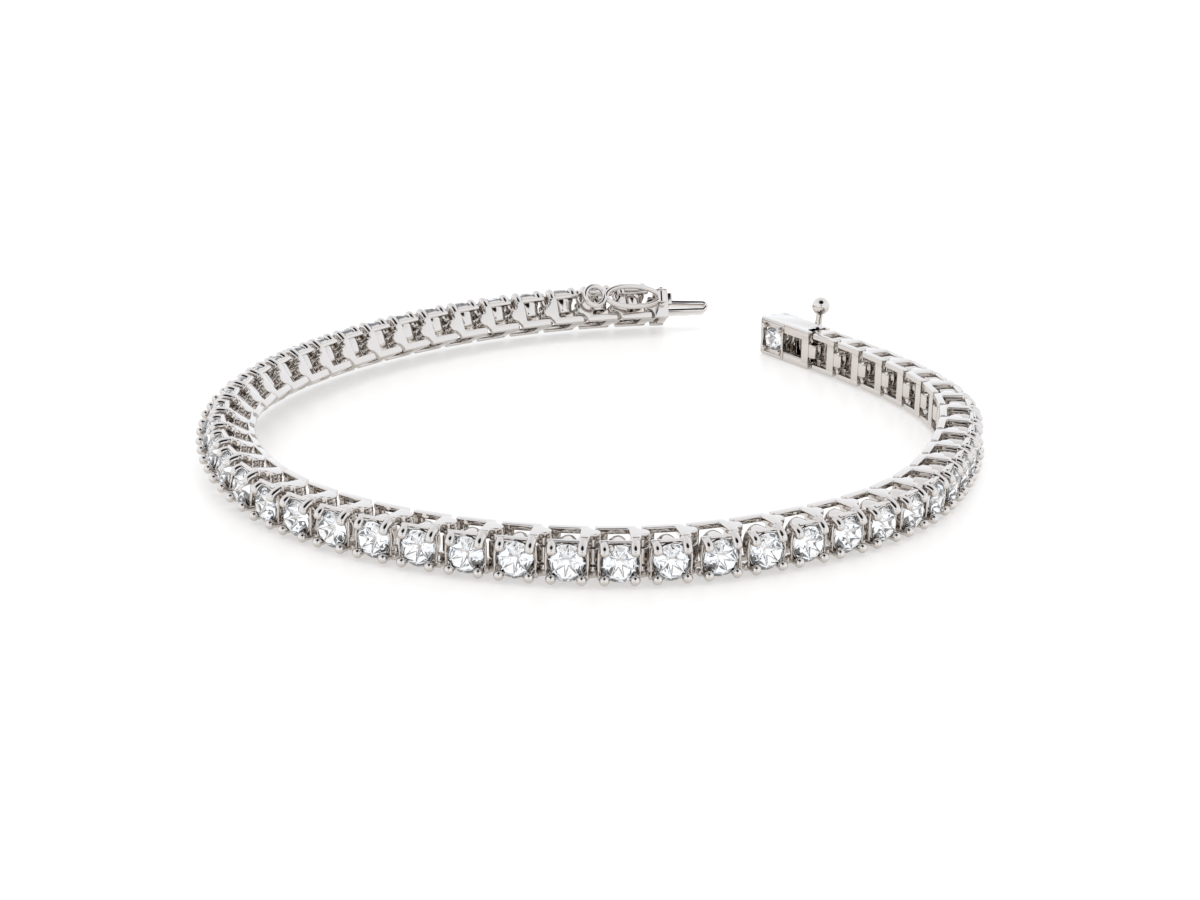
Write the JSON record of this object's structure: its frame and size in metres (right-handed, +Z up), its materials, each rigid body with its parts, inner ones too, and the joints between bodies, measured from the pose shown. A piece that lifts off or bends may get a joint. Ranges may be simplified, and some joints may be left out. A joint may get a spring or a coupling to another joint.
{
  "type": "tennis bracelet",
  "caption": "Flexible line bracelet of pronged round stones on hinged links, with a box clasp, sprung tongue and figure-eight safety catch, lying open on its edge.",
  "frame": {"origin": "centre of the bounding box at the surface the bracelet lies on", "axes": "+Z up from the surface, across the band; +Y along the open loop's longer side, from its front towards the clasp ends; +X along the front row of stones, towards the right"},
  "size_m": [0.0622, 0.0704, 0.0062],
  "materials": {
    "white_gold": "polished white gold with clear round stones",
    "polished_wire": "polished white gold wire",
    "clear_stone": "clear, colourless brilliant-cut stones"
  },
  "bodies": {
    "bracelet": {"link_01": "white_gold", "link_02": "white_gold", "link_03": "white_gold", "link_04": "white_gold", "link_05": "white_gold", "link_06": "white_gold", "link_07": "white_gold", "link_08": "white_gold", "link_09": "white_gold", "link_10": "white_gold", "link_11": "white_gold", "link_12": "white_gold", "link_13": "white_gold", "link_14": "white_gold", "link_15": "white_gold", "link_16": "white_gold", "link_17": "white_gold", "link_18": "white_gold", "link_19": "white_gold", "link_20": "white_gold", "link_21": "white_gold", "link_22": "white_gold", "link_23": "white_gold", "link_24": "white_gold", "link_25": "white_gold", "link_26": "white_gold", "link_27": "white_gold", "link_28": "white_gold", "link_29": "white_gold", "link_30": "white_gold", "link_31": "white_gold", "link_32": "white_gold", "link_33": "white_gold", "link_34": "white_gold", "link_35": "white_gold", "link_36": "white_gold", "link_37": "white_gold", "link_38": "white_gold", "link_39": "white_gold", "link_40": "white_gold", "link_41": "white_gold", "link_42": "white_gold", "link_43": "white_gold", "link_44": "white_gold", "link_45": "white_gold", "link_46": "white_gold", "link_47": "white_gold", "link_48": "white_gold", "link_49": "white_gold", "link_50": "white_gold", "box_clasp": "white_gold", "tongue_clasp": "white_gold"},
    "safety_catch": {"safety_catch": "polished_wire"}
  },
  "joints": [
    {"name": "catch_hinge", "type": "hinge", "parent": "bracelet", "child": "safety_catch", "pos_m": [0.0065, 0.0312, 0.00352], "axis": [-0.0717, 0.4795, 0.8746], "range_deg": [0, 171]}
  ]
}
